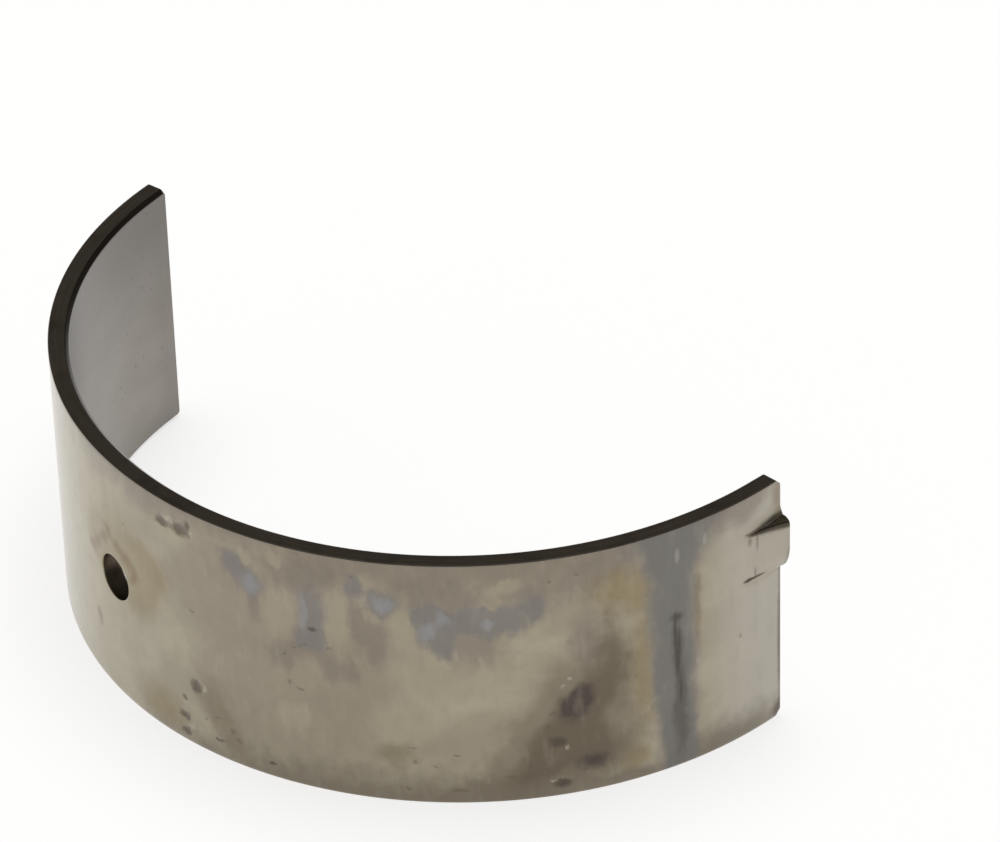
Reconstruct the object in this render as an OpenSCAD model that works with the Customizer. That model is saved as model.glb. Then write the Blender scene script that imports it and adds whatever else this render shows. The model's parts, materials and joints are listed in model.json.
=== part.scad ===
// Half shell of a plain engine bearing: a steel strip with a thin bonded lining, rolled to half a ring.
// Millimetres. The journal axis is Z, with z = 0 at mid length. The crown is toward -Y, and the end
// with the locating tang is toward +X. Drawn in its free state, sprung a little wider than its housing.

/* [Strip] */
// Bore of the housing that closes the shell to a true half ring
housing_d = 56.5; // [45:0.5:75]
// Angle by which the free shell falls short of a half ring, from its spring
spring_angle = 4.4; // [0.6:0.2:6]
// Wall, steel back and lining together
wall = 1.45; // [1.3:0.05:2]
// Length along the journal
length = 19.9; // [16:0.1:30]

/* [Edges] */
// Chamfer on the bore side of both end faces
rim_chamfer = 0.3; // [0.15:0.05:0.5]
// Edge break on the back of both end faces
back_break = 0.1; // [0.05:0.05:0.3]
// Chamfer on the bore side of both parting faces
parting_chamfer = 0.3; // [0.15:0.05:0.5]
// Chamfer across the four corners of the parting faces
corner_chamfer = 0.45; // [0.2:0.05:0.8]

/* [Crush relief] */
// Length of the strip by each parting face where the lining is relieved
relief_length = 1.3; // [1:0.1:3]
// Depth of the relief at the parting face
relief_depth = 0.05; // [0.03:0.01:0.1]

/* [Oil hole] */
// Diameter of the drilled hole
oil_hole_d = 3.4; // [2:0.1:6]
// Angle from the crown, toward the end without the tang
oil_hole_angle = 15.4; // [0:0.2:45]
// Width of the chamfer round the hole on the bore side
oil_hole_chamfer = 0.1; // [0.05:0.05:0.4]

/* [Locating tang] */
// Width along the journal
tang_width = 3.9; // [2.5:0.1:6]
// Distance from the upper end face to the tang
tang_offset = 3; // [1.5:0.1:6]
// Length of the tongue along the back, from its root to the parting face
tang_length = 3.45; // [2.8:0.05:3.8]
// Height above the back at the parting face
tang_height = 0.87; // [0.7:0.01:1]
// Angle at which the tongue leaves the back
tang_rise = 4; // [3:0.5:5]
// Radius to which the upper cut rolls the outer edge of the tongue
tang_edge_r = 0.4; // [0.1:0.05:0.6]
// Radius in which the lower side of the tongue rolls down into the back
tang_side_r = 1.85; // [1.2:0.05:2.4]

/* [Hidden] */
$fn = 180;
STEEL = "#8d877a";
// Room by which a cutter runs past the metal it cuts
CUT = 2;
// The strip keeps its length, so the free shell has the larger radius
arc_angle = 180 - spring_angle;
outer_r = housing_d / 2 * 180 / arc_angle;
inner_r = outer_r - wall;
mid_z = length / 2;
// Degrees past each parting face that the rolled strip runs before it is trimmed
trim_angle = 2;
// The two cuts that free the sides of the tongue
tang_top = mid_z - tang_offset;
tang_bottom = tang_top - tang_width;
// Angle of the tongue's root from the tang's parting face
root_angle = asin(tang_length / (outer_r + tang_height));
// The tongue's end above the root's own tangent
end_lift = sqrt(pow(outer_r + tang_height, 2) - pow(tang_length, 2)) - outer_r;
// Radius to which the tongue is bent, on its back
flare_r = (pow(end_lift, 2) + pow(tang_length, 2))
    / (2 * (end_lift * cos(tang_rise) - tang_length * sin(tang_rise)));
flare_x = outer_r + flare_r * cos(tang_rise);
flare_y = -flare_r * sin(tang_rise);
// Lean of the tongue's root face, which keeps both of its corners inside the wall
root_lean = 0.35;
// The rolled lower side ends a little inside the wall, and takes up this much of the tongue's width
side_sink = 0.1;
side_run = sqrt(pow(tang_side_r, 2) - pow(tang_side_r - tang_height - side_sink, 2));
side_top = tang_bottom + side_run;

// Turns a part drawn at the parting face on +X to that face: x is radial, y points out of the face
module at_tang_end() {
    rotate([0, 0, -spring_angle / 2]) children();
}

// The same for the plain end on -X
module at_plain_end() {
    mirror([1, 0, 0]) at_tang_end() children();
}

// Turns a part drawn with the tongue's root on +X to its place
module at_root() {
    at_tang_end() rotate([0, 0, -root_angle]) children();
}

// The strip's section, with its edges, turned about the journal axis
module rolled_strip() {
    rotate([0, 0, 180 + spring_angle / 2 - trim_angle])
        rotate_extrude(angle = arc_angle + 2 * trim_angle)
            polygon([
                [inner_r + rim_chamfer, -mid_z],
                [outer_r - back_break, -mid_z],
                [outer_r, -mid_z + back_break],
                [outer_r, mid_z - back_break],
                [outer_r - back_break, mid_z],
                [inner_r + rim_chamfer, mid_z],
                [inner_r, mid_z - rim_chamfer],
                [inner_r, -mid_z + rim_chamfer],
            ]);
}

// Everything between the two cuts that free the sides of the tongue
module between_tang_cuts() {
    translate([0, 0, tang_bottom]) linear_extrude(tang_width) children();
}

// The tongue's section: x is the distance from the centre of its bend, so its back is the lesser x
module tongue_section() {
    edge_z = tang_top - tang_edge_r;
    translate([flare_r + tang_edge_r, side_top]) square([wall - tang_edge_r, tang_top - side_top]);
    translate([flare_r, side_top]) square([wall, edge_z - side_top]);
    translate([flare_r + tang_edge_r, edge_z]) circle(tang_edge_r);
    intersection() {
        translate([flare_r, tang_bottom]) square([wall, side_run]);
        translate([flare_r + tang_side_r, side_top]) circle(tang_side_r);
    }
}

// The tongue itself: a length of the wall bent outward about a centre behind the shell
module tongue() {
    at_root() intersection() {
        translate([flare_x, flare_y]) rotate_extrude() tongue_section();
        between_tang_cuts() polygon([
            [outer_r, -root_lean],
            [inner_r, root_lean],
            [inner_r - CUT, root_lean],
            [inner_r - CUT, tang_length + CUT],
            [outer_r + CUT, tang_length + CUT],
            [outer_r + CUT, -root_lean],
        ]);
    }
}

// The pocket that the tongue leaves in the bore
module tongue_pocket() {
    at_root() between_tang_cuts() difference() {
        polygon([
            [inner_r - CUT, -root_lean],
            [outer_r, -root_lean],
            [outer_r, tang_length + CUT],
            [inner_r - CUT, tang_length + CUT],
        ]);
        translate([flare_x, flare_y]) circle(flare_r + wall);
    }
}

// Everything past a parting face, its corners and its bore side edge with the crush relief
module parting_cut() {
    reach = outer_r + tang_height + CUT;
    translate([0, 0, -mid_z - CUT]) cube([reach, reach / 2, length + 2 * CUT]);
    for (side = [0, 1]) mirror([0, 0, side])
        translate([inner_r - CUT, 0, 0]) rotate([90, 0, 90]) linear_extrude(reach - inner_r + CUT)
            polygon([
                [CUT, mid_z - corner_chamfer - CUT],
                [CUT, mid_z + CUT],
                [-corner_chamfer - CUT, mid_z + CUT],
            ]);
    translate([0, 0, -mid_z - CUT]) linear_extrude(length + 2 * CUT) {
        polygon([
            [inner_r + parting_chamfer + CUT, CUT],
            [inner_r - CUT, -parting_chamfer - CUT],
            [inner_r - CUT, CUT],
        ]);
        polygon([
            [inner_r + relief_depth, 0],
            [sqrt(pow(inner_r, 2) - pow(relief_length, 2)), -relief_length],
            [inner_r - CUT, -relief_length],
            [inner_r - CUT, 0],
        ]);
    }
}

// The oil hole, with its chamfer on the bore side
module oil_hole() {
    rotate([0, 0, -90 - oil_hole_angle]) rotate([0, 90, 0]) {
        translate([0, 0, inner_r - CUT]) cylinder(h = wall + 2 * CUT, d = oil_hole_d);
        translate([0, 0, inner_r - CUT + oil_hole_chamfer])
            cylinder(h = CUT, d1 = oil_hole_d + 2 * CUT, d2 = oil_hole_d);
    }
}

module bearing_shell() {
    color(STEEL) difference() {
        union() {
            rolled_strip();
            tongue();
        }
        tongue_pocket();
        at_tang_end() parting_cut();
        at_plain_end() parting_cut();
        oil_hole();
    }
}

bearing_shell();
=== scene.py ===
"""A used half shell of an engine bearing, standing on its end face on a pale floor."""

import json
import math

import bmesh
import bpy
import numpy as np
from mathutils import Matrix, Vector


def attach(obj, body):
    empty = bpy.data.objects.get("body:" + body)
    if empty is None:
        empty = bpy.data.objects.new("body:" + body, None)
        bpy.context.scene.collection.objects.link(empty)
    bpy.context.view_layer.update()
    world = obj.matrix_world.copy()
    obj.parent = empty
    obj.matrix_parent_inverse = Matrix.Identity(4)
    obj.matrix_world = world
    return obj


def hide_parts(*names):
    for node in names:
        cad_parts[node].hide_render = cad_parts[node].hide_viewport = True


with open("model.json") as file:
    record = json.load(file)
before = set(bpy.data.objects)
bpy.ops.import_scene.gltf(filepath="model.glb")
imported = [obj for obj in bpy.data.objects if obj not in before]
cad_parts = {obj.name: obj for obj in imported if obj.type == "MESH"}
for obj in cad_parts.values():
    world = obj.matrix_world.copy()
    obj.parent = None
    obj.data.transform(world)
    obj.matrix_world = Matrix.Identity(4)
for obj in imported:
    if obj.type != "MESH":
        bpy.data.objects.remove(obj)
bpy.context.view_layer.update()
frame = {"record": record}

# Sizes in millimetres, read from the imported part's mounts.
MM = 0.001
MOUNTS = {mount["name"]: mount for mount in frame["record"]["mounts"]}
INNER_R = MOUNTS["journal_bore"]["dims"]["r_mm"]
OUTER_R = -MOUNTS["housing_seat"]["pos_m"][1] / MM
WALL = OUTER_R - INNER_R
HALF_LENGTH = -MOUNTS["lower_end_face"]["pos_m"][2] / MM
OIL_HOLE_R = MOUNTS["oil_hole"]["dims"]["r_mm"]


def crown_angle(vector):
    """Angle of a place from the crown, positive toward the end with the tang."""
    return math.atan2(vector[0], -vector[1])


END_ANGLE = crown_angle(MOUNTS["parting_face_tang"]["pos_m"])
OIL_HOLE_ANGLE = crown_angle(MOUNTS["oil_hole"]["axis"])
HALF_STRIP = OUTER_R * END_ANGLE
TANG_MIDDLE = MOUNTS["tang_seat"]["pos_m"][2] / MM

# Edges and small forms of the solid, as the part's source has them.
RIM_CHAMFER = 0.3
BACK_BREAK = 0.1
PARTING_CHAMFER = 0.3
CORNER_CHAMFER = 0.45
RELIEF_LENGTH = 1.3
RELIEF_DEPTH = 0.05
OIL_HOLE_CHAMFER = 0.1
TANG_WIDTH = 3.9
TANG_LENGTH = 3.45
TANG_HEIGHT = math.hypot(*MOUNTS["tang_seat"]["pos_m"][:2]) / MM - OUTER_R
TANG_RISE = math.radians(4)
TANG_EDGE_R = 0.4
TANG_TOP = TANG_MIDDLE + TANG_WIDTH / 2
TANG_BOTTOM = TANG_MIDDLE - TANG_WIDTH / 2

# Forms of use and of the press tool, too small for the solid.
EDGE_ROUND = 0.05
RIM_SOFT = EDGE_ROUND * 0.7
OIL_HOLE_BREAK = 0.06
OIL_HOLE_SOFT = 0.03
TANG_SIDE_RUN = 1.6
TANG_SIDE_PAST = 0.26
TANG_DRAW = 0.28
TANG_DRAW_REACH = 0.75
TANG_DRAW_START = 2.0
TANG_DRAW_CURVE = 1.3
CRACK_DEPTH = 0.08
CRACK_LENGTH = 2.0
CRACK_HALF_WIDTH = 0.14

# How far the middle of a rounded edge falls back, as a share of the round.
ROUND_MIDDLE = 0.3

# Spacing of the mesh along and across the strip, and the slack when places are compared.
STEP_ALONG = 0.22
STEP_UP = 0.25
SLACK = 1e-6

# Rows of the mesh by the tang: down from its upper cut, up from it, and about its lower cut.
DARK_LIP = 0.15
LIP_ROWS = np.array([TANG_EDGE_R, 0.32, 0.24, DARK_LIP, 0.08, 0.03, 0.0])
DRAWN_ROWS = np.array([0.02, 0.12, 0.25, 0.38, 0.5, 0.62, 0.72, 0.8])
LOWER_CUT_ROWS = np.array([-0.3, -0.26, -0.245, -0.21, -0.14, -0.07, 0.0, 0.07, 0.14, 0.24, 0.36])

# Columns by a parting face: the relief's start, both sides of each chamfer's edge, and the round.
END_COLUMNS = [
    RELIEF_LENGTH, CORNER_CHAMFER + 0.05, CORNER_CHAMFER - 0.03, PARTING_CHAMFER + 0.04,
    PARTING_CHAMFER - 0.03, EDGE_ROUND, EDGE_ROUND * 0.6, EDGE_ROUND * 0.25, 0.0,
]

# Points on the flat of an end face, and their margin to its edges.
FLAT_POINTS = 6
FLAT_MARGIN = 0.1

# Stretches at the ends of the rows that give way to the corner chamfers and to the rim's chamfer.
CORNER_TAPER = 2.0
RIM_TAPER = 0.7

# The square of mesh round the oil hole: half its side, and how its rings go in to the hole and through it.
HOLE_SQUARE = OIL_HOLE_R + 0.9
HALF_SQUARE = OUTER_R * math.asin(HOLE_SQUARE / OUTER_R)
HOLE_PLACE = OUTER_R * OIL_HOLE_ANGLE
INWARD_SHARES = (0.3, 0.55, 0.75, 0.9, 1.0)
THROUGH_SHARES = (0, 0.25, 0.5, 0.75, 1)


def steps_between(stops, step):
    """Places through every stop in turn, evenly spread and at most a step apart."""
    places = [stops[0]]
    for low, high in zip(stops, stops[1:]):
        count = max(1, math.ceil((high - low) / step - SLACK))
        places += [low + (high - low) * i / count for i in range(1, count + 1)]
    return np.array(places)


def rounding(distance, radius):
    """How far a rounded edge falls back, at a distance from where the sharp edge would be."""
    left = np.clip(radius - np.asarray(distance, float), 0.0, radius)
    return radius - np.sqrt(radius**2 - left**2)


def drawn_in(heights, start, factor):
    """Heights whose part past a start, upward or downward, is shortened by a factor."""
    past = np.clip(np.abs(heights) - start, 0, None)
    return np.sign(heights) * (np.minimum(np.abs(heights), start) + past * factor)


def flare():
    """Centre and radius of the bend that lifts the tang's tongue, with its root on the x axis."""
    lift = math.sqrt((OUTER_R + TANG_HEIGHT) ** 2 - TANG_LENGTH**2) - OUTER_R
    reach = lift * math.cos(TANG_RISE) - TANG_LENGTH * math.sin(TANG_RISE)
    radius = (lift**2 + TANG_LENGTH**2) / (2 * reach)
    return OUTER_R + radius * math.cos(TANG_RISE), -radius * math.sin(TANG_RISE), radius


FLARE_X, FLARE_Y, FLARE_R = flare()
ROOT_ANGLE = END_ANGLE - math.asin(TANG_LENGTH / (OUTER_R + TANG_HEIGHT))
ROOT_PLACE = OUTER_R * ROOT_ANGLE


def tongue_radius(place, layer):
    """Distance of the bent tongue from the journal axis: layer 0 is its back, WALL its bore side."""
    turn = place / OUTER_R - ROOT_ANGLE
    along = FLARE_X * math.cos(turn) + FLARE_Y * math.sin(turn)
    inside = along**2 - FLARE_X**2 - FLARE_Y**2 + (FLARE_R + layer) ** 2
    return along - math.sqrt(max(inside, 0.0))


def back_heights():
    """Heights of the mesh rows on the back, with rows on both cuts of the tang."""
    edge = HALF_LENGTH - BACK_BREAK
    lower_cut = TANG_BOTTOM + LOWER_CUT_ROWS
    lip = TANG_TOP - LIP_ROWS
    drawn = TANG_TOP + DRAWN_ROWS
    return np.concatenate([
        steps_between([-edge, -HOLE_SQUARE, HOLE_SQUARE, lower_cut[0]], STEP_UP),
        lower_cut[1:-1],
        steps_between([lower_cut[-1], lip[0]], STEP_UP),
        lip[1:],
        drawn[:-1],
        steps_between([drawn[-1], edge], STEP_UP),
    ])


HEIGHTS = back_heights()


def bore_heights():
    """Heights of the mesh rows on the bore: those of the back, drawn in to end at the rim's chamfer."""
    edge = HALF_LENGTH - RIM_CHAMFER
    return drawn_in(HEIGHTS, edge - RIM_TAPER, RIM_TAPER / (RIM_TAPER + RIM_CHAMFER - BACK_BREAK))


BORE_HEIGHTS = bore_heights()


def strip_places():
    """Places of the mesh columns along the strip, closer together at both parting faces."""
    stops = [distance - HALF_STRIP for distance in reversed(END_COLUMNS)]
    stops += [HOLE_PLACE - HALF_SQUARE, HOLE_PLACE + HALF_SQUARE, ROOT_PLACE]
    stops += [HALF_STRIP - distance for distance in END_COLUMNS]
    return steps_between(stops, STEP_ALONG)


PLACES = strip_places()


def end_face_points():
    """Depth and drop of the points across an end face, from its back edge to its bore edge."""
    middle = BACK_BREAK * ROUND_MIDDLE
    points = [(WALL - middle, middle), (WALL - BACK_BREAK, 0.0)]
    flat = np.linspace(WALL - BACK_BREAK - FLAT_MARGIN, RIM_CHAMFER + FLAT_MARGIN, FLAT_POINTS)
    points += [(depth, 0.0) for depth in flat]
    points += [(RIM_CHAMFER + RIM_SOFT, 0.0), (RIM_CHAMFER - RIM_SOFT, RIM_SOFT)]
    points += [(RIM_CHAMFER / 2, RIM_CHAMFER / 2), (RIM_SOFT, RIM_CHAMFER - RIM_SOFT)]
    return np.array(points)


END_POINTS = end_face_points()

# Knocks in the back: place, height, half width, half height and depth.
KNOCKS = [
    (-1.72, 8.1, 0.75, 0.45, 0.08), (0.0, 8.15, 0.9, 0.6, 0.10), (0.66, 8.85, 0.3, 0.4, 0.05),
    (0.6, -4.76, 0.55, 0.65, 0.10), (-0.6, -6.2, 0.25, 0.2, 0.03), (-0.66, -7.8, 0.6, 0.4, 0.08),
    (-0.6, -9.1, 0.5, 0.3, 0.06), (10.26, 3.57, 0.35, 0.22, 0.08), (26.7, -5.3, 0.5, 0.4, 0.06),
    (26.9, -8.8, 0.45, 0.3, 0.05), (2.4, -8.5, 0.4, 0.16, 0.04), (6.7, -8.9, 0.25, 0.2, 0.04),
]


def knock_depth(place):
    """Depth of the knocks in the back at each height of a place."""
    depth = np.zeros_like(HEIGHTS)
    for along, up, half_width, half_height, deep in KNOCKS:
        away = ((place - along) / half_width) ** 2 + ((HEIGHTS - up) / half_height) ** 2
        depth = np.maximum(depth, deep * np.clip(1 - away, 0, None))
    return depth


def tang_lift(place):
    """How far the back stands out at each height of a place past the tang's root.

    The tongue is rolled over at its upper cut and rolled down past its lower one. The wall above it is
    drawn out with it, and a crack runs into the wall at the lower cut, open at the root.
    """
    above_cut = HEIGHTS - TANG_BOTTOM
    past_root = place - ROOT_PLACE
    raised = tongue_radius(place, 0.0) - OUTER_R
    lip = rounding(TANG_WIDTH - above_cut, TANG_EDGE_R)
    rolled = np.clip((TANG_SIDE_RUN - above_cut) / (TANG_SIDE_RUN + TANG_SIDE_PAST), 0, 1)
    tongue = np.clip(raised * np.sqrt(1 - rolled**2) - lip, 0, None)
    ramp = np.clip(1 - (HEIGHTS - TANG_TOP) / TANG_DRAW_REACH, 0, 1)
    drawn = TANG_DRAW * min(1.0, past_root / TANG_DRAW_START) * ramp**TANG_DRAW_CURVE
    lift = np.where(HEIGHTS > TANG_TOP + SLACK, np.minimum(drawn, raised), tongue)
    opened = max(0.0, 1 - past_root / CRACK_LENGTH)
    crack = CRACK_DEPTH * opened * np.clip(1 - np.abs(above_cut) / CRACK_HALF_WIDTH, 0, None)
    return lift - crack


def tang_pocket(place):
    """Depth of the pocket in the bore at each height of a place past the tang's root."""
    above_cut = HEIGHTS - TANG_BOTTOM
    behind_tongue = (above_cut >= -SLACK) & (above_cut <= TANG_WIDTH + SLACK)
    return np.where(behind_tongue, max(tongue_radius(place, WALL) - INNER_R, 0.0), 0.0)


def section(place):
    """Depth and height of each point round the strip's section at one place.

    The loop runs up the back, across the upper end face, down the bore and back across the lower one.
    """
    distance = HALF_STRIP - abs(place)
    inset = float(rounding(distance, EDGE_ROUND))
    corner = max(0.0, CORNER_CHAMFER - distance) + inset
    relief = RELIEF_DEPTH * max(0.0, 1 - distance / RELIEF_LENGTH)
    bore = max(relief, PARTING_CHAMFER - distance)

    back_depth = WALL - inset - knock_depth(place)
    bore_depth = np.full_like(HEIGHTS, bore + inset)
    if place > ROOT_PLACE:
        back_depth = back_depth + tang_lift(place)
        bore_depth = np.maximum(bore_depth, tang_pocket(place) + inset)
    end_depth = bore + inset + END_POINTS[:, 0] * (WALL - bore - 2 * inset) / WALL

    taper = (HALF_LENGTH - CORNER_TAPER, (CORNER_TAPER - corner) / CORNER_TAPER)
    back_height = drawn_in(HEIGHTS, *taper)
    bore_height = drawn_in(BORE_HEIGHTS, *taper)
    end_height = HALF_LENGTH - END_POINTS[:, 1] - corner
    depth = [back_depth, end_depth, bore_depth[::-1], end_depth[::-1]]
    height = [back_height, end_height, bore_height[::-1], -end_height[::-1]]
    return np.concatenate(depth), np.concatenate(height)


def nearest(values, wanted):
    """Index of the value that is nearest to the one wanted."""
    return int(np.argmin(np.abs(values - wanted)))


# Points in a section's loop, and the rows and columns of the mesh where the cuts and the hole's square lie.
ROWS = len(HEIGHTS)
ACROSS = len(END_POINTS)
LOOP = 2 * (ROWS + ACROSS)
UPPER_CUT = nearest(HEIGHTS, TANG_TOP)
DARK_FROM = nearest(HEIGHTS, TANG_TOP - DARK_LIP)
LOWER_CUT = nearest(HEIGHTS, TANG_BOTTOM)
HOLE_LOW = nearest(HEIGHTS, -HOLE_SQUARE)
HOLE_HIGH = nearest(HEIGHTS, HOLE_SQUARE)
HOLE_LEFT = nearest(PLACES, HOLE_PLACE - HALF_SQUARE)
HOLE_RIGHT = nearest(PLACES, HOLE_PLACE + HALF_SQUARE)

# Finishes, in the order of the material slots.
STEEL_BACK, END_FACE, LINING, PARTING_FACE, SHEARED = range(5)


class StripMesh:
    """The shell's vertices with their places on the flat strip, and its faces with their finishes."""

    def __init__(self):
        self.vertices = []
        self.strip = []
        self.faces = []
        self.finishes = []

    def add_vertex(self, place, depth, height):
        """A vertex by its place along the strip, depth from the bore and height; returns its index."""
        angle = place / OUTER_R
        radius = INNER_R + depth
        self.vertices.append((radius * math.sin(angle) * MM, -radius * math.cos(angle) * MM, height * MM))
        self.strip.append((place, height, depth))
        return len(self.vertices) - 1

    def add_at_hole(self, across, height, out):
        """A vertex by its offset from the hole's axis and its distance out along that axis."""
        angle = OIL_HOLE_ANGLE + math.atan2(across, out)
        return self.add_vertex(OUTER_R * angle, math.hypot(across, out) - INNER_R, height)

    def add_face(self, corners, finish):
        self.faces.append(corners)
        self.finishes.append(finish)

    def join(self, ring_a, ring_b, finish):
        """A band of faces between two closed rings of vertices."""
        for i in range(len(ring_a)):
            j = (i + 1) % len(ring_a)
            self.add_face((ring_a[i], ring_a[j], ring_b[j], ring_b[i]), finish)


def bore_index(row):
    """Index in a section's loop of a row on the bore."""
    return ROWS + ACROSS + (ROWS - 1 - row)


def finish_of(index, past_root):
    """Finish of the face after a point of the loop, at a distance past the root of the tang."""
    on_tang = past_root >= -SLACK
    if index < ROWS - 1:
        return SHEARED if on_tang and DARK_FROM <= index <= UPPER_CUT else STEEL_BACK
    if ROWS + ACROSS <= index < 2 * ROWS + ACROSS - 1:
        row = ROWS - 2 - (index - ROWS - ACROSS)
        return SHEARED if on_tang and row in (LOWER_CUT - 1, UPPER_CUT) else LINING
    return END_FACE


def add_strip(mesh):
    """The strip from one parting face to the other, with a square left open at each end of the hole."""
    rings = []
    for place in PLACES:
        rings.append([mesh.add_vertex(place, depth, height) for depth, height in zip(*section(place))])
    for column in range(len(PLACES) - 1):
        by_hole = HOLE_LEFT <= column < HOLE_RIGHT
        for index in range(LOOP):
            on_back = HOLE_LOW <= index < HOLE_HIGH
            on_bore = bore_index(HOLE_HIGH) <= index < bore_index(HOLE_LOW)
            if by_hole and (on_back or on_bore):
                continue
            following = (index + 1) % LOOP
            corners = (rings[column][index], rings[column + 1][index],
                       rings[column + 1][following], rings[column][following])
            mesh.add_face(corners, finish_of(index, PLACES[column] - ROOT_PLACE))
    return rings


def add_parting_face(mesh, ring, place):
    """A grid across the parting face between the back, the bore and the two end faces."""
    depth = np.array([mesh.strip[vertex][2] for vertex in ring])
    height = np.array([mesh.strip[vertex][1] for vertex in ring])
    up = np.linspace(0, 1, ROWS)
    back = list(range(ROWS))
    bore = [bore_index(row) for row in back]
    grid = [[ring[i] for i in back]]
    for step in range(ACROSS):
        share = (step + 1) / (ACROSS + 1)
        top = ROWS + step
        bottom = LOOP - 1 - step
        inside = []
        for values in (depth, height):
            side = (1 - share) * values[back] + share * values[bore]
            low_miss = values[bottom] - side[0]
            high_miss = values[top] - side[-1]
            inside.append(side + (1 - up) * low_miss + up * high_miss)
        middle = [mesh.add_vertex(place, d, h) for d, h in list(zip(*inside))[1:-1]]
        grid.append([ring[bottom]] + middle + [ring[top]])
    grid.append([ring[i] for i in bore])
    for left, right in zip(grid, grid[1:]):
        for row in range(ROWS - 1):
            mesh.add_face((left[row], left[row + 1], right[row + 1], right[row]), PARTING_FACE)


def hole_square(rings, to_index):
    """The vertices round the square left open on the back or the bore, in order."""
    square = [rings[c][to_index(HOLE_LOW)] for c in range(HOLE_LEFT, HOLE_RIGHT)]
    square += [rings[HOLE_RIGHT][to_index(r)] for r in range(HOLE_LOW, HOLE_HIGH)]
    square += [rings[c][to_index(HOLE_HIGH)] for c in range(HOLE_RIGHT, HOLE_LEFT, -1)]
    square += [rings[HOLE_LEFT][to_index(r)] for r in range(HOLE_HIGH, HOLE_LOW, -1)]
    return square


def close_in(mesh, square, radius, surface_r, finish):
    """Rings from a square to a circle round the hole's axis, on one surface.

    Returns the circle's vertices and the angle of each.
    """
    offsets = []
    for vertex in square:
        place, height, depth = mesh.strip[vertex]
        offsets.append(((INNER_R + depth) * math.sin(place / OUTER_R - OIL_HOLE_ANGLE), height))
    angles = [math.atan2(height, across) for across, height in offsets]
    ring = square
    for share in INWARD_SHARES:
        inner = []
        for (across, height), angle in zip(offsets, angles):
            x = (1 - share) * across + share * radius * math.cos(angle)
            z = (1 - share) * height + share * radius * math.sin(angle)
            inner.append(mesh.add_at_hole(x, z, math.sqrt(surface_r**2 - x**2)))
        mesh.join(ring, inner, finish)
        ring = inner
    return ring, angles


def wall_ring(mesh, angles, radius, share, sink_back, rise_bore):
    """A ring in the hole's wall, at a share of the way from its back edge to its bore edge."""
    ring = []
    for angle in angles:
        x = radius * math.cos(angle)
        back = math.sqrt(OUTER_R**2 - x**2) - sink_back
        bore = math.sqrt(INNER_R**2 - x**2) + rise_bore
        ring.append(mesh.add_at_hole(x, radius * math.sin(angle), (1 - share) * back + share * bore))
    return ring


def add_oil_hole(mesh, rings):
    """The drilled oil hole, broken at the back and chamfered at the bore, with the mesh round it."""
    back_edge = OIL_HOLE_R + OIL_HOLE_BREAK
    bore_edge = OIL_HOLE_R + OIL_HOLE_CHAMFER
    back_ring, angles = close_in(mesh, hole_square(rings, lambda row: row), back_edge, OUTER_R, STEEL_BACK)
    bore_ring, _ = close_in(mesh, hole_square(rings, bore_index), bore_edge, INNER_R, LINING)
    middle = OIL_HOLE_BREAK * ROUND_MIDDLE
    rise = OIL_HOLE_CHAMFER + OIL_HOLE_SOFT
    eased = wall_ring(mesh, angles, OIL_HOLE_R + middle, 0, middle, 0)
    drilled = [wall_ring(mesh, angles, OIL_HOLE_R, share, OIL_HOLE_BREAK, rise) for share in THROUGH_SHARES]
    chamfered = wall_ring(mesh, angles, OIL_HOLE_R + OIL_HOLE_SOFT, 1, 0, OIL_HOLE_CHAMFER - OIL_HOLE_SOFT)
    mesh.join(back_ring, eased, STEEL_BACK)
    mesh.join(eased, drilled[0], STEEL_BACK)
    for ring, following in zip(drilled, drilled[1:] + [chamfered]):
        mesh.join(ring, following, SHEARED)
    mesh.join(chamfered, bore_ring, LINING)


def lined_strip():
    """The whole strip as one closed mesh, with the place on the flat strip kept at every vertex."""
    made = StripMesh()
    rings = add_strip(made)
    add_parting_face(made, rings[0], PLACES[0])
    add_parting_face(made, rings[-1], PLACES[-1])
    add_oil_hole(made, rings)
    mesh = bpy.data.meshes.new("lined_strip")
    mesh.from_pydata(made.vertices, [], made.faces)
    mesh.polygons.foreach_set("material_index", made.finishes)
    mesh.polygons.foreach_set("use_smooth", [True] * len(made.faces))
    attribute = mesh.attributes.new("strip", "FLOAT_VECTOR", "POINT")
    attribute.data.foreach_set("vector", np.array(made.strip, np.float32).ravel())

    # The vertices inside the open squares belong to no face.
    shaped = bmesh.new()
    shaped.from_mesh(mesh)
    bmesh.ops.delete(shaped, geom=[v for v in shaped.verts if not v.link_faces], context="VERTS")
    bmesh.ops.recalc_face_normals(shaped, faces=shaped.faces)
    shaped.to_mesh(mesh)
    shaped.free()
    return mesh


shell = bpy.data.objects.new("lined_strip", lined_strip())
bpy.context.scene.collection.objects.link(shell)
smooth = shell.modifiers.new("flat faces stay flat", "WEIGHTED_NORMAL")
smooth.weight = 50
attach(shell, "root")
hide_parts("bearing_shell")


def linear(code):
    """Linear colour of an sRGB hex value."""
    parts = [int(code[i:i + 2], 16) / 255 for i in (1, 3, 5)]
    return tuple(p / 12.92 if p <= 0.04045 else ((p + 0.055) / 1.055) ** 2.4 for p in parts) + (1.0,)


def add(tree, kind, links=None, out=0, **settings):
    """Adds a node with its settings; links gives an input a value or another node's output.

    Returns the output that the next node takes.
    """
    made = tree.nodes.new(kind)
    for name, value in settings.items():
        setattr(made, name, value)
    for name, value in (links or {}).items():
        if isinstance(value, bpy.types.NodeSocket):
            tree.links.new(value, made.inputs[name])
        else:
            made.inputs[name].default_value = value
    return made.outputs[out] if made.outputs else made


def new_material(name):
    """An empty material and its node tree."""
    material = bpy.data.materials.new(name)
    material.use_nodes = True
    material.node_tree.nodes.clear()
    return material, material.node_tree


def finish_with(tree, links):
    """Ends a material's tree with its surface."""
    shader = add(tree, "ShaderNodeBsdfPrincipled", links)
    add(tree, "ShaderNodeOutputMaterial", {"Surface": shader})


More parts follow.
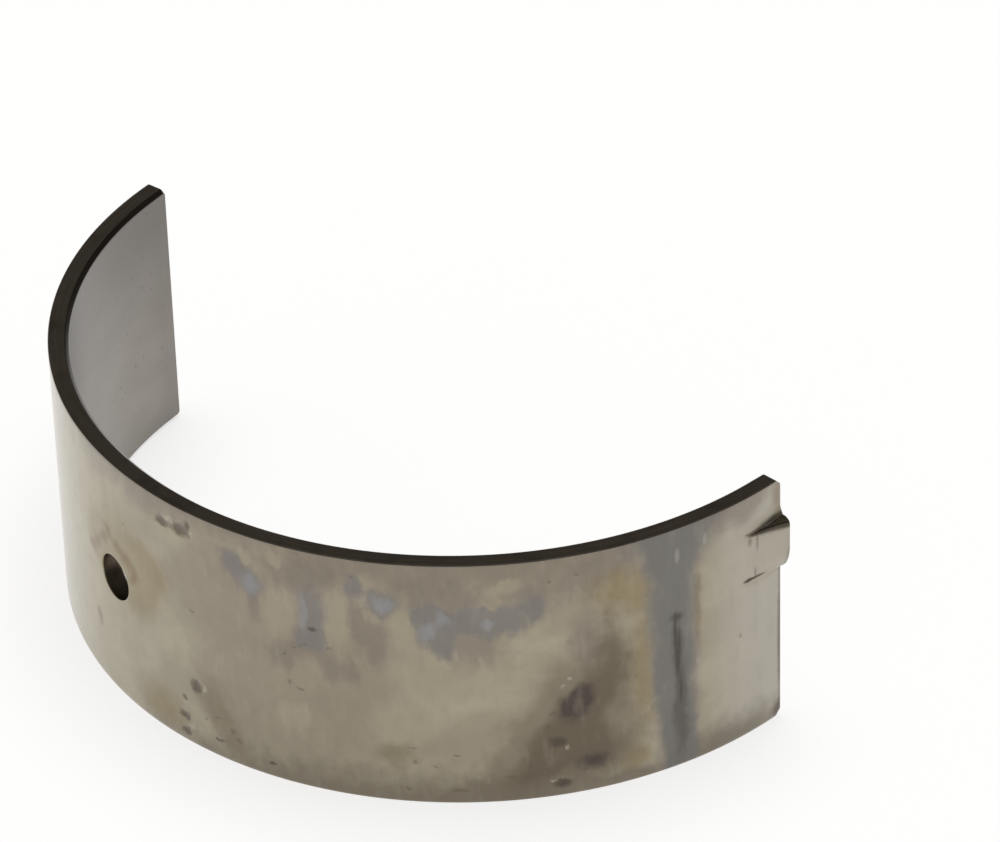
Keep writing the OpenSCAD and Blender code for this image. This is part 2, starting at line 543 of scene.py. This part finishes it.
def strip_map(tree):
    """Place along the strip, height and depth in the wall, in millimetres."""
    return add(tree, "ShaderNodeAttribute", out="Vector", attribute_name="strip")


def cloud(tree, vector, along, up, detail=2.0, deep=None, out=0):
    """Random clouds of a size in millimetres along the strip, up it and, if it differs, into the wall."""
    scale = (1 / along, 1 / up, 1 / (deep or along))
    sized = add(tree, "ShaderNodeMapping", {"Vector": vector, "Scale": scale})
    return add(tree, "ShaderNodeTexNoise", {"Vector": sized, "Scale": 1.0, "Detail": detail}, out)


def stain(tree, colour, code, field, low, high, share=1.0):
    """A colour with another laid over it where a field goes from low to high, up to a share."""
    links = {"Value": field, "From Min": low, "From Max": high, "To Min": 0.0, "To Max": share}
    cover = add(tree, "ShaderNodeMapRange", links, interpolation_type="SMOOTHSTEP")
    return add(tree, "ShaderNodeMix", {0: cover, 6: colour, 7: linear(code)}, 2, data_type="RGBA")


def ragged(tree, vector, shifts):
    """The strip's map with its places shifted at random, so that what is drawn on it runs and frays.

    Each shift gives a cloud's size along the strip and up it, then its reach along and up.
    """
    for size_along, size_up, reach_along, reach_up in shifts:
        shift = cloud(tree, vector, size_along, size_up, out="Color")
        centred = add(tree, "ShaderNodeVectorMath", {0: shift, 1: (0.5, 0.5, 0.5)}, operation="SUBTRACT")
        links = {0: centred, 1: (reach_along, reach_up, 0.0), 2: vector}
        vector = add(tree, "ShaderNodeVectorMath", links, operation="MULTIPLY_ADD")
    return vector


def spots(tree, vector, listed):
    """A field of soft round spots: place, height, half width and half height of each.

    A spot is 1 in its middle and 0 past its edge, and spots add up where they overlap.
    """
    shape = None
    for along, up, half_width, half_height in listed:
        links = {"Vector": vector, "Location": (along, up, 0), "Scale": (half_width, half_height, 1)}
        centred = add(tree, "ShaderNodeMapping", links, vector_type="TEXTURE")
        ball = add(tree, "ShaderNodeTexGradient", {"Vector": centred}, 1, gradient_type="SPHERICAL")
        shape = ball if shape is None else add(tree, "ShaderNodeMath", {0: shape, 1: ball})
    return shape


def clouded(tree, field, shares):
    """A field with clouds added to it, each centred on 0 and taken by a share."""
    for clouds, share in shares:
        links = {0: clouds, 1: share, 2: -share / 2}
        centred = add(tree, "ShaderNodeMath", links, operation="MULTIPLY_ADD")
        field = add(tree, "ShaderNodeMath", {0: field, 1: centred}, operation="ADD")
    return field


# How steeply the clouds in a spot rise from its edge.
SPOT_EDGE = 5.0


def broken(tree, shape, shares):
    """A field of spots broken by clouds, which end where the spots end."""
    inside = add(tree, "ShaderNodeMath", {0: shape, 1: SPOT_EDGE}, operation="MULTIPLY")
    return add(tree, "ShaderNodeMath", {0: clouded(tree, shape, shares), 1: inside}, operation="MINIMUM")


# Each stain, and each painted shade, is a list of spots: place, height, half width and half height, in
# millimetres.
WORN_MIDDLE = [(9.0, 0.0, 12.0, 12.0), (2.8, -4.0, 3.5, 4.0), (1.2, 4.6, 4.0, 4.0)]
WORN_LOW = [(12.0, -8.0, 19.0, 9.0)]
TOP_BAND = [(18.0, 12.5, 31.0, 7.5), (-8.0, 12.5, 13.0, 5.5), (40.5, 11.5, 4.4, 4.6)]
BOTTOM_BAND = [
    (14.0, -12.0, 26.0, 6.0), (39.5, -11.2, 8.0, 4.6), (23.0, -10.6, 5.0, 3.0), (28.5, -10.4, 2.6, 2.8),
    (31.8, -10.6, 2.4, 2.4),
]
HEAT_FILM = [
    (4.4, 7.2, 1.6, 2.0), (6.0, 4.6, 1.0, 2.6), (8.0, 0.8, 1.8, 1.5), (9.7, 2.5, 1.9, 2.2),
    (11.5, 0.8, 1.1, 2.0), (13.4, 4.8, 1.1, 3.0), (14.7, 3.4, 1.4, 3.4), (13.0, 0.7, 0.9, 1.3),
    (18.7, 7.2, 4.4, 3.2), (20.6, 1.5, 1.2, 1.5), (25.3, 7.0, 3.0, 2.6), (28.9, 2.6, 1.9, 4.4),
    (21.0, 3.6, 3.8, 3.0), (10.0, 8.0, 4.0, 2.6), (29.6, 8.4, 3.2, 3.2),
]
CLEAN_ISLANDS = [
    (7.7, 4.3, 2.1, 2.9), (12.0, 4.6, 1.4, 3.9), (5.2, 8.3, 0.9, 1.0), (7.8, 8.7, 0.9, 1.1),
    (23.4, 8.0, 1.8, 1.1), (16.4, 5.0, 1.1, 2.3), (19.0, 0.5, 5.0, 2.6), (16.5, -3.5, 3.5, 2.5),
    (8.6, -4.0, 1.8, 1.8), (14.25, 5.5, 0.45, 1.0), (19.95, 2.9, 0.35, 0.9),
]
HEAT_BLUE = [
    (5.6, 6.4, 1.9, 1.8), (4.3, 7.5, 0.9, 1.6), (10.26, 5.0, 1.5, 3.0), (9.8, 2.6, 1.4, 1.3),
    (10.6, 2.8, 1.0, 1.2), (13.2, 7.4, 1.0, 1.4), (15.2, 6.56, 1.9, 1.5), (18.45, 4.9, 1.9, 2.3),
    (17.8, 5.8, 1.4, 1.3), (19.3, 3.5, 1.2, 1.8), (20.6, 5.5, 2.0, 1.6), (22.0, 5.06, 1.8, 1.9),
    (23.75, 5.1, 2.0, 1.9), (25.27, 6.56, 1.1, 1.5),
]
HEAT_PALE = [
    (5.75, 6.3, 1.1, 1.3), (9.65, 4.9, 0.38, 2.4), (15.3, 6.5, 1.2, 0.9), (18.2, 4.6, 1.1, 1.0),
    (19.2, 5.5, 0.7, 0.9), (22.1, 5.0, 0.6, 0.6),
]
TAN_HALO = [
    (32.8, -0.4, 1.5, 8.2), (31.4, 6.4, 3.2, 2.8), (32.2, -8.0, 1.5, 1.4), (37.0, 3.0, 0.45, 5.0),
]
HOLE_TAN = [
    (-7.0, 2.6, 6.0, 4.4), (-4.2, 2.6, 3.6, 3.0), (-5.0, 0.4, 2.6, 3.2), (-3.0, -8.0, 3.4, 2.4),
    (-9.6, 2.2, 2.6, 2.4),
]
HOLE_HALO = [
    (-10.7, 1.1, 1.0, 0.8), (-9.9, 1.9, 0.9, 0.8), (-9.1, 2.7, 0.8, 0.8), (-8.4, 3.7, 0.8, 0.9),
    (-7.2, 3.1, 1.0, 0.8), (-6.2, 2.5, 1.0, 0.9), (-5.4, 1.5, 0.9, 1.1), (-10.6, -4.9, 0.7, 1.2),
]
LOW_DIRT = [(3.0, -7.0, 1.8, 2.0), (4.0, -8.4, 1.6, 1.5), (2.0, -5.2, 2.2, 2.6), (15.8, -6.0, 2.4, 1.4)]
SMUDGE_HAZE = [
    (29.5, -3.0, 4.5, 7.5), (26.8, -3.0, 3.6, 5.2), (25.0, -5.5, 3.8, 4.0), (30.0, -6.0, 4.0, 3.6),
    (24.0, -8.0, 5.0, 3.0),
]
BROWN_SMUDGE = [
    (30.6, 0.6, 2.3, 6.0), (29.2, -1.8, 1.8, 2.4), (28.0, -2.6, 1.8, 2.4), (26.9, -4.4, 2.0, 2.4),
    (25.6, -6.0, 2.2, 2.4), (27.4, -6.8, 2.4, 2.2), (29.9, -6.5, 2.4, 2.4), (28.8, -4.6, 1.8, 2.2),
    (24.8, -7.8, 2.2, 1.6),
]
DARK_SMUDGE = [
    (27.8, -2.5, 1.7, 1.8), (28.6, -1.4, 1.1, 1.3), (28.0, -2.4, 1.2, 1.3), (29.2, -7.4, 2.0, 0.9),
    (26.6, -5.3, 0.9, 0.7), (26.9, -8.9, 0.9, 0.6),
]
COLUMN_FRINGE = [(35.2, 10.6, 6.0, 5.0), (35.0, 3.5, 2.9, 8.6), (35.3, -5.0, 2.4, 9.0)]
BLUED_COLUMN = [
    (35.2, 10.4, 4.6, 4.8), (35.0, 3.5, 2.5, 8.0), (35.1, -3.5, 2.1, 6.5), (35.7, -9.0, 1.8, 5.0),
]
DIRT_SMEAR = [(35.6, -2.5, 0.7, 4.0), (35.6, -6.5, 0.9, 4.4), (35.3, 0.6, 0.6, 3.0)]
SMEAR_LINES = [
    (35.3, 2.7, 0.8, 0.5), (35.2, 1.2, 0.22, 2.4), (35.5, 0.2, 0.2, 2.2), (35.35, -1.2, 0.24, 2.2),
    (35.6, -3.4, 0.2, 1.8),
]
SCUFFS = [(35.4, 7.7, 0.3, 1.0), (37.6, 8.2, 0.3, 0.8), (37.0, -1.6, 0.3, 0.5)]
KNOCK_SCUFFS = [
    (0.9, 8.3, 0.35, 0.7), (-1.0, 8.6, 0.5, 0.4), (-0.1, -8.5, 0.6, 0.3), (1.3, -4.6, 0.3, 0.6),
    (27.3, -5.9, 0.25, 0.25), (27.6, -0.1, 0.3, 0.25), (27.1, -0.7, 0.25, 0.25), (26.3, -8.6, 0.3, 0.2),
]
FINE_TICKS = [
    (8.9, 1.75, 0.3, 0.14), (9.3, 1.95, 0.3, 0.14), (9.7, 2.15, 0.3, 0.14), (7.7, 0.8, 0.25, 0.14),
    (8.1, 1.0, 0.25, 0.14), (8.4, -1.3, 0.25, 0.2), (9.2, -1.65, 0.45, 0.16), (11.4, 2.2, 0.3, 0.14),
    (16.9, -5.35, 0.4, 0.14), (17.0, -6.5, 0.25, 0.2), (18.4, -6.8, 0.3, 0.14), (19.9, -5.9, 0.3, 0.14),
    (20.0, -8.9, 0.9, 0.2), (16.5, -8.9, 0.3, 0.2), (1.3, -7.1, 0.3, 0.14), (2.4, -6.6, 0.4, 0.14),
    (3.6, -7.3, 0.3, 0.3), (4.1, -7.9, 0.3, 0.3), (26.3, 8.1, 0.25, 0.15), (28.2, 8.3, 0.3, 0.15),
    (13.2, 8.55, 0.2, 0.2), (0.6, 1.7, 0.4, 0.14), (40.6, -1.2, 0.25, 0.25), (-6.2, 5.5, 0.3, 0.16),
    (27.0, -1.9, 0.4, 0.2), (26.3, -2.9, 0.4, 0.2), (27.5, -3.5, 0.5, 0.2), (26.0, -3.9, 0.4, 0.2),
    (25.5, -4.7, 0.4, 0.2), (28.3, -3.9, 0.4, 0.25), (25.1, -6.1, 0.4, 0.25), (26.0, -6.7, 0.5, 0.2),
    (24.6, -7.2, 0.4, 0.25), (25.5, -7.5, 0.5, 0.2), (23.4, -7.9, 0.5, 0.2), (28.9, -2.9, 0.3, 0.3),
]
TANG_CREASES = [(42.0, 5.95, 0.16, 1.0), (41.4, 6.2, 0.26, 0.6), (41.85, 3.5, 0.16, 0.6)]
# Painted shade: the dark line along the tang's lower cut stands for the shadow in its crack.
TANG_CRACK_SHADE = [(41.9, 3.06, 1.3, 0.17), (41.25, 3.06, 0.45, 0.24)]
# Dirt and painted shade on the tang's upper cut and on the wall drawn out above it.
TANG_DIRT_AND_SHADE = [(44.4, 6.7, 3.4, 0.55), (42.4, 6.8, 1.6, 0.35), (44.0, 7.05, 2.6, 0.5)]
END_BROWN = [(44.4, 8.7, 1.3, 2.2), (44.2, -9.5, 0.9, 0.8)]
# Painted shade along the edge of the parting face and in the corner chamfer at its foot.
END_EDGE_SHADE = [(44.4, -3.0, 0.5, 10.0), (44.3, -9.4, 1.3, 1.1)]

# What each stain or painted shade on the back is, from the lowest layer up: the map that it is drawn on,
# its colour, the share that it covers, how its edge rises, how far streaks, blotches and grain break it,
# and its spots.
STAINS_AND_PAINTED_SHADE = [
    ("clouds", "#847a6a", 0.65, (0.05, 0.7), (0.3, 0.4, 0.1), WORN_MIDDLE),
    ("clouds", "#817864", 0.30, (0.05, 0.7), (0.3, 0.3, 0.1), WORN_LOW),
    ("drips", "#786d61", 0.70, (0.02, 0.6), (0.3, 0.3, 0.1), TOP_BAND),
    ("clouds", "#665c4c", 0.75, (0.0, 0.6), (0.3, 0.3, 0.1), BOTTOM_BAND),
    ("drips", "#786e63", 0.70, (0.05, 0.75), (0.8, 0.5, 0.1), HEAT_FILM),
    ("drips", "#978e79", 0.75, (0.1, 0.6), (0.5, 0.4, 0.1), CLEAN_ISLANDS),
    ("drips", "#746f6b", 0.80, (0.1, 0.65), (0.3, 0.4, 0.1), HEAT_BLUE),
    ("drips", "#878789", 0.70, (0.05, 0.8), (0.2, 0.4, 0.1), HEAT_PALE),
    ("clouds", "#7c6a40", 0.62, (0.0, 0.8), (0.3, 0.4, 0.1), TAN_HALO),
    ("clouds", "#7a693a", 0.58, (0.0, 0.8), (0.2, 0.4, 0.1), HOLE_TAN),
    ("clouds", "#6c5216", 0.80, (0.0, 0.9), (0.2, 0.4, 0.1), HOLE_HALO),
    ("clouds", "#6c6048", 0.55, (0.0, 0.9), (0.3, 0.4, 0.1), LOW_DIRT),
    ("clouds", "#665c4a", 0.65, (0.0, 0.9), (0.2, 0.4, 0.1), SMUDGE_HAZE),
    ("clouds", "#594d3c", 0.80, (0.0, 0.95), (0.2, 0.4, 0.1), BROWN_SMUDGE),
    ("clouds", "#3a2f29", 0.85, (0.0, 0.95), (0.2, 0.5, 0.2), DARK_SMUDGE),
    ("clouds", "#786e68", 0.65, (0.0, 0.6), (0.2, 0.3, 0.1), COLUMN_FRINGE),
    ("clouds", "#696762", 0.90, (0.05, 0.6), (0.2, 0.3, 0.1), BLUED_COLUMN),
    ("clouds", "#494239", 0.70, (0.0, 0.9), (0.4, 0.4, 0.2), DIRT_SMEAR),
    ("marks", "#3a332b", 0.75, (0.0, 0.9), (0.2, 0.4, 0.4), SMEAR_LINES),
    ("marks", "#9c9890", 0.50, (0.1, 0.8), (0.0, 0.2, 0.2), SCUFFS),
    ("flecks", "#a69f8c", 0.60, (0.1, 0.7), (0.0, 0.3, 0.3), KNOCK_SCUFFS),
    ("flecks", "#595040", 0.50, (0.0, 0.7), (0.0, 0.3, 0.4), FINE_TICKS),
    ("marks", "#5a5244", 0.50, (0.0, 0.8), (0.0, 0.1, 0.1), TANG_CREASES),
    # Painted shade in the crack at the tang's lower cut.
    ("marks", "#44392b", 0.85, (0.0, 0.7), (0.0, 0.1, 0.1), TANG_CRACK_SHADE),
    # Dirt and painted shade along the tang's upper cut.
    ("marks", "#42392f", 0.90, (0.0, 0.6), (0.0, 0.1, 0.0), TANG_DIRT_AND_SHADE),
    ("marks", "#746148", 0.65, (0.0, 0.7), (0.0, 0.2, 0.1), END_BROWN),
    # Painted shade along the parting face's edge.
    ("marks", "#483a2b", 0.80, (0.0, 0.7), (0.0, 0.2, 0.1), END_EDGE_SHADE),
]

# The film of old oil on the back: its weight, its roughness, the spots by the tang's cuts where it is wiped
# off, and how far into a spot nothing of it is left.
OIL_FILM = 0.65
OIL_FILM_ROUGHNESS = 0.08
TORN_EDGES = [(43.2, 6.9, 3.2, 1.0), (43.2, 2.85, 3.0, 0.6)]
WIPED_CLEAN = 0.3

# How many times as wide as a knock the dirt in it spreads.
KNOCK_DIRT = 1.3


def stained_and_shaded_back():
    """Cold rolled strip steel under a flash of tin, heat stained and rubbed: a dull warm satin.

    A film of old oil over it turns pale at a glancing view. Shade is painted in along the tang's cuts and
    along the parting face's edge by it.
    """
    material, tree = new_material("cold_rolled_strip_steel_tin_flashed_oiled")
    flat = add(tree, "ShaderNodeVectorMath", {0: strip_map(tree), 1: (1, 1, 0)}, operation="MULTIPLY")
    along = add(tree, "ShaderNodeSeparateXYZ", {"Vector": flat})
    broad = cloud(tree, flat, 6.0, 4.0, 4.0)
    streaks = cloud(tree, flat, 0.9, 4.0, 3.0)
    blotches = cloud(tree, flat, 1.0, 1.3, 3.0)
    grain = cloud(tree, flat, 0.22, 0.35, 3.0)
    clouds = ragged(tree, flat, [(2.2, 2.2, 0.9, 0.9), (0.6, 0.6, 0.3, 0.3)])
    maps = {
        "clouds": clouds,
        "drips": ragged(tree, clouds, [(0.9, 6.0, 0.0, 2.2)]),
        "marks": ragged(tree, flat, [(0.5, 0.5, 0.12, 0.12)]),
        "flecks": ragged(tree, flat, [(0.5, 0.5, 0.6, 0.6), (0.2, 0.2, 0.2, 0.2)]),
    }

    # Rubbed tin: a little warmer from the oil hole on, greyer toward the far end, lighter toward the tang.
    colour = stain(tree, linear("#928975"), "#9f9681", broad, 0.38, 0.62)
    worn = clouded(tree, along, [(broad, 9.0), (blotches, 3.0)])
    colour = stain(tree, colour, "#9a8f70", worn, -4.0, -14.0, 0.9)
    colour = stain(tree, colour, "#979079", worn, -17.0, -42.0, 0.9)
    colour = stain(tree, colour, "#a7a195", along, 36.5, 41.0, 0.8)
    for drawn_on, code, share, rise, breaks, listed in STAINS_AND_PAINTED_SHADE:
        shares = zip((streaks, blotches, grain), breaks)
        field = broken(tree, spots(tree, maps[drawn_on], listed), shares)
        colour = stain(tree, colour, code, field, *rise, share)

    # Knocks hold dirt, and rubbing has left streaks across the strip, blotches and fine grain over all.
    knocked = [(a, z, w * KNOCK_DIRT, h * KNOCK_DIRT) for a, z, w, h, _ in KNOCKS]
    dirt = broken(tree, spots(tree, maps["flecks"], knocked), [(blotches, 0.3), (grain, 0.5)])
    colour = stain(tree, colour, "#4d4333", dirt, 0.05, 0.6, 0.8)
    colour = stain(tree, colour, "#b6af9d", streaks, 0.52, 0.8, 0.15)
    colour = stain(tree, colour, "#615747", streaks, 0.48, 0.15, 0.16)
    patches = clouded(tree, blotches, [(broad, 0.8)])
    colour = stain(tree, colour, "#5d5138", patches, 0.5, 0.95, 0.08)
    colour = stain(tree, colour, "#544c3c", grain, 0.5, 0.2, 0.09)

    rough = clouded(tree, 0.31, [(grain, 0.12), (blotches, 0.1)])
    wiped = spots(tree, flat, TORN_EDGES)
    links = {"Value": wiped, "From Max": WIPED_CLEAN, "To Min": OIL_FILM, "To Max": 0.0}
    film = add(tree, "ShaderNodeMapRange", links)
    bump = add(tree, "ShaderNodeBump", {"Strength": 0.25, "Distance": 0.02 * MM, "Height": grain})
    finish_with(tree, {
        "Base Color": colour, "Metallic": 1.0, "Roughness": rough, "Normal": bump,
        "Coat Weight": film, "Coat Roughness": OIL_FILM_ROUGHNESS,
    })
    return material


def turned_end_face():
    """Turned steel edge: a clean grey with the fine lines of the tool along it.

    Old oil lies on it in patches, and the chamfer at the bore is much darker.
    """
    material, tree = new_material("turned_steel_oiled")
    strip = strip_map(tree)
    turned = cloud(tree, strip, 5.0, 0.1, deep=0.1)
    patchy = cloud(tree, strip, 2.5, 1.0, 3.0)
    depth = add(tree, "ShaderNodeSeparateXYZ", {"Vector": strip}, 2)
    colour = stain(tree, linear("#938a80"), "#a69d93", turned, 0.45, 0.7, 0.8)
    colour = stain(tree, colour, "#70675f", patchy, 0.5, 0.75, 0.6)
    colour = stain(tree, colour, "#2c2721", depth, RIM_CHAMFER + 0.03, RIM_CHAMFER - 0.05, 0.85)
    bump = add(tree, "ShaderNodeBump", {"Strength": 0.3, "Distance": 0.01 * MM, "Height": turned})
    finish_with(tree, {"Base Color": colour, "Metallic": 1.0, "Roughness": 0.3, "Normal": bump})
    return material


def bored_lining():
    """Fine bored bearing alloy, run in: a smooth warm grey with faint lines round the bore and specks.

    It is darker toward its upper edge, a painted reflection of a dark shape, and darker toward its lower
    edge and at the plain end.
    """
    material, tree = new_material("bearing_alloy_fine_bored")
    strip = strip_map(tree)
    along = add(tree, "ShaderNodeSeparateXYZ", {"Vector": strip})
    height = add(tree, "ShaderNodeSeparateXYZ", {"Vector": strip}, 1)
    run = cloud(tree, strip, 9.0, 0.3, 2.0)
    broad = cloud(tree, strip, 10.0, 5.0, 2.0)
    specks = cloud(tree, strip, 0.4, 0.4, 1.0)
    colour = stain(tree, linear("#88837c"), "#908a83", broad, 0.35, 0.65)
    colour = stain(tree, colour, "#979189", run, 0.54, 0.75, 0.15)
    # Painted reflection: the lining darkens toward its upper edge.
    colour = stain(tree, colour, "#726e6a", height, -3.0, 10.0, 0.8)
    colour = stain(tree, colour, "#7a766f", height, -7.5, -10.0, 0.6)
    colour = stain(tree, colour, "#625e58", specks, 0.68, 0.76, 0.6)
    colour = stain(tree, colour, "#77736c", along, -41.0, -43.5, 0.35)
    colour = stain(tree, colour, "#5b5751", along, -44.0, -44.12, 0.6)
    bump = add(tree, "ShaderNodeBump", {"Strength": 0.15, "Distance": 0.01 * MM, "Height": run})
    finish_with(tree, {"Base Color": colour, "Metallic": 1.0, "Roughness": 0.33, "Normal": bump})
    return material


def broached_parting_face():
    """Broached steel: a light tan satin with the lines of the cutter across the wall."""
    material, tree = new_material("steel_broached")
    strip = strip_map(tree)
    lines = cloud(tree, strip, 1.0, 0.12, deep=2.0)
    colour = stain(tree, linear("#a0967f"), "#b4aa95", lines, 0.35, 0.65)
    colour = stain(tree, colour, "#857a67", cloud(tree, strip, 1.5, 1.5, 3.0), 0.5, 0.75, 0.7)
    bump = add(tree, "ShaderNodeBump", {"Strength": 0.3, "Distance": 0.01 * MM, "Height": lines})
    finish_with(tree, {"Base Color": colour, "Metallic": 1.0, "Roughness": 0.35, "Normal": bump})
    return material


def sheared_steel():
    """Sheared and drilled steel that has held oil: a dull brown, darker in the oil hole."""
    material, tree = new_material("steel_sheared_oil_blackened")
    strip = strip_map(tree)
    torn = cloud(tree, strip, 0.5, 0.5, 2.0)
    along = add(tree, "ShaderNodeSeparateXYZ", {"Vector": strip})
    colour = stain(tree, linear("#7a6e60"), "#8a7e6f", torn, 0.4, 0.7)
    colour = stain(tree, colour, "#4f463b", along, 0.0, -1.0, 0.6)
    bump = add(tree, "ShaderNodeBump", {"Strength": 0.15, "Distance": 0.01 * MM, "Height": torn})
    finish_with(tree, {"Base Color": colour, "Metallic": 1.0, "Roughness": 0.45, "Normal": bump})
    return material


for make in (stained_and_shaded_back, turned_end_face, bored_lining, broached_parting_face, sheared_steel):
    shell.data.materials.append(make())

# Camera: the photograph's viewing angle, with a long lens. Distance and target follow the outer radius.
IMAGE_WIDTH = 1000
SENSOR = 36.0
FOCAL_PIXELS = 6170.0
VIEW_AZIMUTH = math.radians(42.03)
VIEW_ELEVATION = math.radians(35.25)
VIEW_ROLL = math.radians(-1.795)
VIEW_DISTANCE = 15.008 * OUTER_R * MM
VIEW_TARGET = Vector((0.0228, 0.0870, 0.0)) * OUTER_R * MM


def toward(azimuth, elevation):
    """Unit vector from the object to where something stands, azimuth 0 in front."""
    level = math.cos(elevation)
    return Vector((math.sin(azimuth) * level, -math.cos(azimuth) * level, math.sin(elevation)))


def add_camera():
    """A camera that looks as the photograph's did, rolled a little about its own axis."""
    data = bpy.data.cameras.new("photo_view")
    data.sensor_width = SENSOR
    data.lens = FOCAL_PIXELS * SENSOR / IMAGE_WIDTH
    camera = bpy.data.objects.new("photo_view", data)
    bpy.context.scene.collection.objects.link(camera)
    back = toward(VIEW_AZIMUTH, VIEW_ELEVATION)
    level = (-back).to_track_quat("-Z", "Y").to_matrix()
    turn = level @ Matrix.Rotation(VIEW_ROLL, 3, "Z")
    camera.matrix_world = Matrix.Translation(VIEW_TARGET + back * VIEW_DISTANCE) @ turn.to_4x4()
    bpy.context.scene.camera = camera


add_camera()


def add_floor():
    """A light table: a white board, 5 metres square, that glows evenly, so that the walls mirror it."""
    half = 2.5
    level = -HALF_LENGTH * MM
    mesh = bpy.data.meshes.new("floor")
    corners = [(-half, -half, level), (half, -half, level), (half, half, level), (-half, half, level)]
    mesh.from_pydata(corners, [], [(0, 1, 2, 3)])
    floor = bpy.data.objects.new("floor", mesh)
    bpy.context.scene.collection.objects.link(floor)
    material, tree = new_material("white_board_lit")
    finish_with(tree, {
        "Base Color": linear("#f4f4f4"), "Roughness": 0.9, "Specular IOR Level": 0.1,
        "Emission Color": linear("#ffffff"), "Emission Strength": 0.68,
    })
    floor.data.materials.append(material)


add_floor()


def add_softbox(name, azimuth, elevation, strength, spread):
    """A wide soft light, with its place and spread in degrees, which the metal doesn't mirror."""
    data = bpy.data.lights.new(name, "SUN")
    data.energy = strength
    data.angle = math.radians(spread)
    light = bpy.data.objects.new(name, data)
    bpy.context.scene.collection.objects.link(light)
    back = toward(math.radians(azimuth), math.radians(elevation))
    light.rotation_euler = (-back).to_track_quat("-Z", "Y").to_euler()
    light.visible_glossy = False


add_softbox("overhead_softbox", azimuth=222, elevation=84, strength=0.7, spread=50)


def add_room():
    """A dim grey room, darker behind the object, which the end faces mirror.

    The camera itself sees white.
    """
    world = bpy.data.worlds.new("studio")
    bpy.context.scene.world = world
    world.use_nodes = True
    tree = world.node_tree
    tree.nodes.clear()
    direction = add(tree, "ShaderNodeTexCoord", out="Generated")
    behind = tuple(toward(VIEW_AZIMUTH + math.pi, math.radians(28)))
    links = {0: direction, 1: behind}
    facing = add(tree, "ShaderNodeVectorMath", links, "Value", operation="DOT_PRODUCT")
    colour = stain(tree, linear("#6e6e6c"), "#575550", facing, 0.35, 0.75)
    room = add(tree, "ShaderNodeBackground", {"Color": colour, "Strength": 1.0})
    paper = add(tree, "ShaderNodeBackground", {"Color": linear("#fcfcfc"), "Strength": 1.0})
    seen = add(tree, "ShaderNodeLightPath", out="Is Camera Ray")
    shown = add(tree, "ShaderNodeMixShader", {0: seen, 1: room, 2: paper})
    add(tree, "ShaderNodeOutputWorld", {"Surface": shown})


add_room()
bpy.context.scene.view_settings.view_transform = "Standard"
